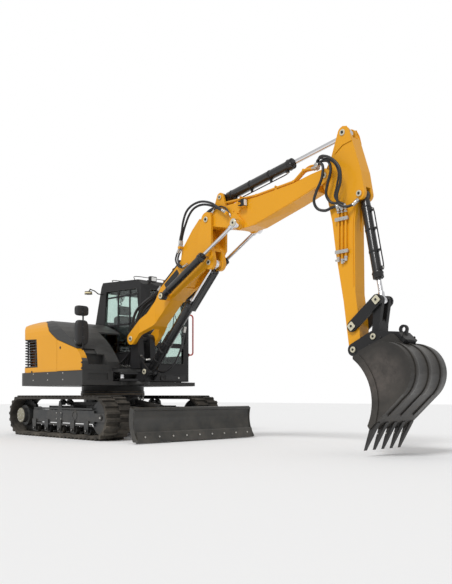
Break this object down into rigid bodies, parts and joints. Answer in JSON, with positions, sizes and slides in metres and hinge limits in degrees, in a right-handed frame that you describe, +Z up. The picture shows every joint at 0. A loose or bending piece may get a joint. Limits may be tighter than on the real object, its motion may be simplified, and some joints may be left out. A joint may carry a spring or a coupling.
{
  "type": "crawler excavator",
  "caption": "Crawler excavator with rubber tracks, front blade, enclosed cab, swing boom in two pieces, arm and toothed bucket on a quick coupler.",
  "frame": {"origin": "on the ground under the slew axis", "axes": "+X forward, towards the blade and the boom, +Y to the left, +Z up"},
  "size_m": [7.3269, 2.244, 3.6939],
  "materials": {
    "yellow_paint": "satin",
    "grey_paint": "satin",
    "black_paint": "satin",
    "red_paint": "gloss",
    "chrome_rod": "polished",
    "track_rubber": "matt",
    "wear_steel": "worn",
    "window_glass": "clear",
    "seat_fabric": "woven",
    "cab_plastic": "grained",
    "hose_rubber": "matt",
    "engine_metal": "cast"
  },
  "bodies": {
    "undercarriage": {"track_frame": "black_paint", "track_right": "track_rubber", "track_left": "track_rubber", "sprockets": "grey_paint", "rollers": "grey_paint"},
    "blade": {"blade": "grey_paint"},
    "blade_cylinder": {"blade_barrel": "black_paint"},
    "blade_rod_body": {"blade_rod": "chrome_rod"},
    "upper": {"deck": "grey_paint", "counterweight": "yellow_paint", "engine_block": "engine_metal", "corner_panels": "yellow_paint", "grille": "cab_plastic", "top_hood": "grey_paint", "tank_box": "grey_paint", "cab_frame": "black_paint", "cab_roof": "black_paint", "cab_glass": "window_glass", "seat_base": "cab_plastic", "seat_cushion": "seat_fabric", "seat_back": "seat_fabric", "controls": "cab_plastic", "lamps": "cab_plastic", "mirrors": "cab_plastic", "handrail": "red_paint"},
    "engine_hood_body": {"engine_hood": "yellow_paint"},
    "side_door_body": {"side_door": "yellow_paint"},
    "cab_door_body": {"cab_door": "black_paint", "door_glass": "window_glass"},
    "swing_cylinder": {"swing_barrel": "black_paint"},
    "swing_rod_body": {"swing_rod": "chrome_rod"},
    "swing_post_body": {"swing_post": "black_paint"},
    "lower_boom_body": {"lower_boom": "yellow_paint", "mid_hoses": "hose_rubber"},
    "lift_cylinder": {"lift_barrel": "black_paint"},
    "lift_rod_body": {"lift_rod": "chrome_rod", "lift_guard": "black_paint"},
    "upper_boom_body": {"upper_boom": "yellow_paint", "boom_lamp": "cab_plastic", "boom_pipes": "yellow_paint", "arm_hoses": "hose_rubber"},
    "adjusting_cylinders": {"adjust_barrels": "black_paint"},
    "adjusting_rods": {"adjust_rods": "chrome_rod"},
    "arm_body": {"arm": "yellow_paint", "arm_pipes": "yellow_paint"},
    "arm_cylinder": {"arm_barrel": "black_paint"},
    "arm_rod_body": {"arm_rod": "chrome_rod"},
    "bucket_cylinder": {"bucket_barrel": "black_paint"},
    "bucket_rod_body": {"bucket_rod": "chrome_rod"},
    "rocker_body": {"rocker": "black_paint"},
    "link_body": {"link": "black_paint"},
    "bucket_body": {"coupler": "black_paint", "bucket": "wear_steel", "bucket_teeth": "wear_steel"}
  },
  "joints": [
    {"name": "slew", "type": "hinge", "parent": "undercarriage", "child": "upper", "pos_m": [0, 0, 0.75], "axis": [0, 0, 1], "continuous": true},
    {"name": "blade", "type": "hinge", "parent": "undercarriage", "child": "blade", "pos_m": [0.95, 0, 0.42], "axis": [0, -1, 0], "range_deg": [-15, 22]},
    {"name": "blade_cylinder_turn", "type": "hinge", "parent": "undercarriage", "child": "blade_cylinder", "pos_m": [0.62, 0, 0.545], "axis": [0, -1, 0], "range_deg": [-11.18, 15.94]},
    {"name": "blade_cylinder_stroke", "type": "slide", "parent": "blade_cylinder", "child": "blade_rod_body", "axis": [0.989, 0, -0.1479], "range_m": [-0.03944, 0.02791]},
    {"name": "boom_swing", "type": "hinge", "parent": "upper", "child": "swing_post_body", "pos_m": [1, -0.18, 0.93], "axis": [0, 0, -1], "range_deg": [-60, 50]},
    {"name": "swing_cylinder_turn", "type": "hinge", "parent": "upper", "child": "swing_cylinder", "pos_m": [-0.15, -0.06, 0.93], "axis": [0, 0, -1], "range_deg": [-0.54, 0.54]},
    {"name": "swing_cylinder_stroke", "type": "slide", "parent": "swing_cylinder", "child": "swing_rod_body", "axis": [0.9341, -0.3571, 0], "range_m": [-0.24953, 0.29695]},
    {"name": "boom", "type": "hinge", "parent": "swing_post_body", "child": "lower_boom_body", "pos_m": [1.03, -0.18, 1.495], "axis": [0, -1, 0], "range_deg": [-55, 22]},
    {"name": "lift_cylinder_turn", "type": "hinge", "parent": "swing_post_body", "child": "lift_cylinder", "pos_m": [1.22, -0.18, 1], "axis": [0, -1, 0], "range_deg": [-54.56, 23.01]},
    {"name": "lift_cylinder_stroke", "type": "slide", "parent": "lift_cylinder", "child": "lift_rod_body", "axis": [0.6971, 0, 0.717], "range_m": [-0.50441, 0.21117]},
    {"name": "upper_boom", "type": "hinge", "parent": "lower_boom_body", "child": "upper_boom_body", "pos_m": [2.6, -0.18, 3.02], "axis": [0, 1, 0], "range_deg": [-14, 50], "deforming": ["mid_hoses"]},
    {"name": "adjusting_cylinders_turn", "type": "hinge", "parent": "lower_boom_body", "child": "adjusting_cylinders", "pos_m": [1.77, -0.18, 2.06], "axis": [0, 1, 0], "range_deg": [-3.92, 11.96]},
    {"name": "adjusting_cylinders_stroke", "type": "slide", "parent": "adjusting_cylinders", "child": "adjusting_rods", "axis": [0.8767, 0, 0.481], "range_m": [-0.47711, 0.14357]},
    {"name": "arm", "type": "hinge", "parent": "upper_boom_body", "child": "arm_body", "pos_m": [4.56, -0.18, 3.18], "axis": [0, -1, 0], "range_deg": [-45, 50], "deforming": ["arm_hoses"]},
    {"name": "arm_cylinder_turn", "type": "hinge", "parent": "upper_boom_body", "child": "arm_cylinder", "pos_m": [2.81, -0.18, 3.29], "axis": [0, -1, 0], "range_deg": [-7.24, 7.96]},
    {"name": "arm_cylinder_stroke", "type": "slide", "parent": "arm_cylinder", "child": "arm_rod_body", "axis": [0.9865, 0, 0.1636], "range_m": [-0.3579, 0.32361]},
    {"name": "bucket", "type": "hinge", "parent": "arm_body", "child": "bucket_body", "pos_m": [4.95, -0.18, 1.15], "axis": [0, 1, 0], "range_deg": [-25, 130]},
    {"name": "rocker", "type": "hinge", "parent": "arm_body", "child": "rocker_body", "pos_m": [4.93, -0.18, 1.41], "axis": [0, 1, 0], "range_deg": [-20.54, 95.41]},
    {"name": "link", "type": "hinge", "parent": "rocker_body", "child": "link_body", "pos_m": [5.25, -0.18, 1.675], "axis": [0, 1, 0], "range_deg": [-50.43, 11.04]},
    {"name": "bucket_cylinder_turn", "type": "hinge", "parent": "arm_body", "child": "bucket_cylinder", "pos_m": [5.02, -0.18, 2.88], "axis": [0, 1, 0], "range_deg": [-1.13, 3.5]},
    {"name": "bucket_cylinder_stroke", "type": "slide", "parent": "bucket_cylinder", "child": "bucket_rod_body", "axis": [0.1875, 0, -0.9823], "range_m": [-0.12445, 0.58201]},
    {"name": "cab_door", "type": "hinge", "parent": "upper", "child": "cab_door_body", "pos_m": [-0.238, 0.995, 1.6], "axis": [0, 0, 1], "range_deg": [0, 140]},
    {"name": "side_door", "type": "hinge", "parent": "upper", "child": "side_door_body", "pos_m": [0.755, -1.092, 1.085], "axis": [0, 0, 1], "range_deg": [0, 100]},
    {"name": "engine_hood", "type": "hinge", "parent": "upper", "child": "engine_hood_body", "pos_m": [-0.637, 0, 1.86], "axis": [0, 1, 0], "range_deg": [0, 55]}
  ],
  "couplings": [
    {"joint": "blade_cylinder_turn", "follows": "blade", "ratio": 0.67881},
    {"joint": "blade_cylinder_stroke", "follows": "blade", "m_per_rad": -0.09433},
    {"joint": "swing_cylinder_turn", "follows": "boom_swing", "ratio": 0.00067},
    {"joint": "swing_cylinder_stroke", "follows": "boom_swing", "m_per_rad": -0.27169},
    {"joint": "lift_cylinder_turn", "follows": "boom", "ratio": 0.9562},
    {"joint": "lift_cylinder_stroke", "follows": "boom", "m_per_rad": 0.50912},
    {"joint": "adjusting_cylinders_turn", "follows": "upper_boom", "ratio": 0.22352},
    {"joint": "adjusting_cylinders_stroke", "follows": "upper_boom", "m_per_rad": -0.53084},
    {"joint": "arm_cylinder_turn", "follows": "arm", "ratio": 0.14367},
    {"joint": "arm_cylinder_stroke", "follows": "arm", "m_per_rad": -0.3929},
    {"joint": "rocker", "follows": "bucket", "ratio": 0.71309},
    {"joint": "link", "follows": "bucket", "ratio": -0.37512},
    {"joint": "bucket_cylinder_turn", "follows": "bucket", "ratio": 0.0225},
    {"joint": "bucket_cylinder_stroke", "follows": "bucket", "m_per_rad": 0.24968}
  ]
}
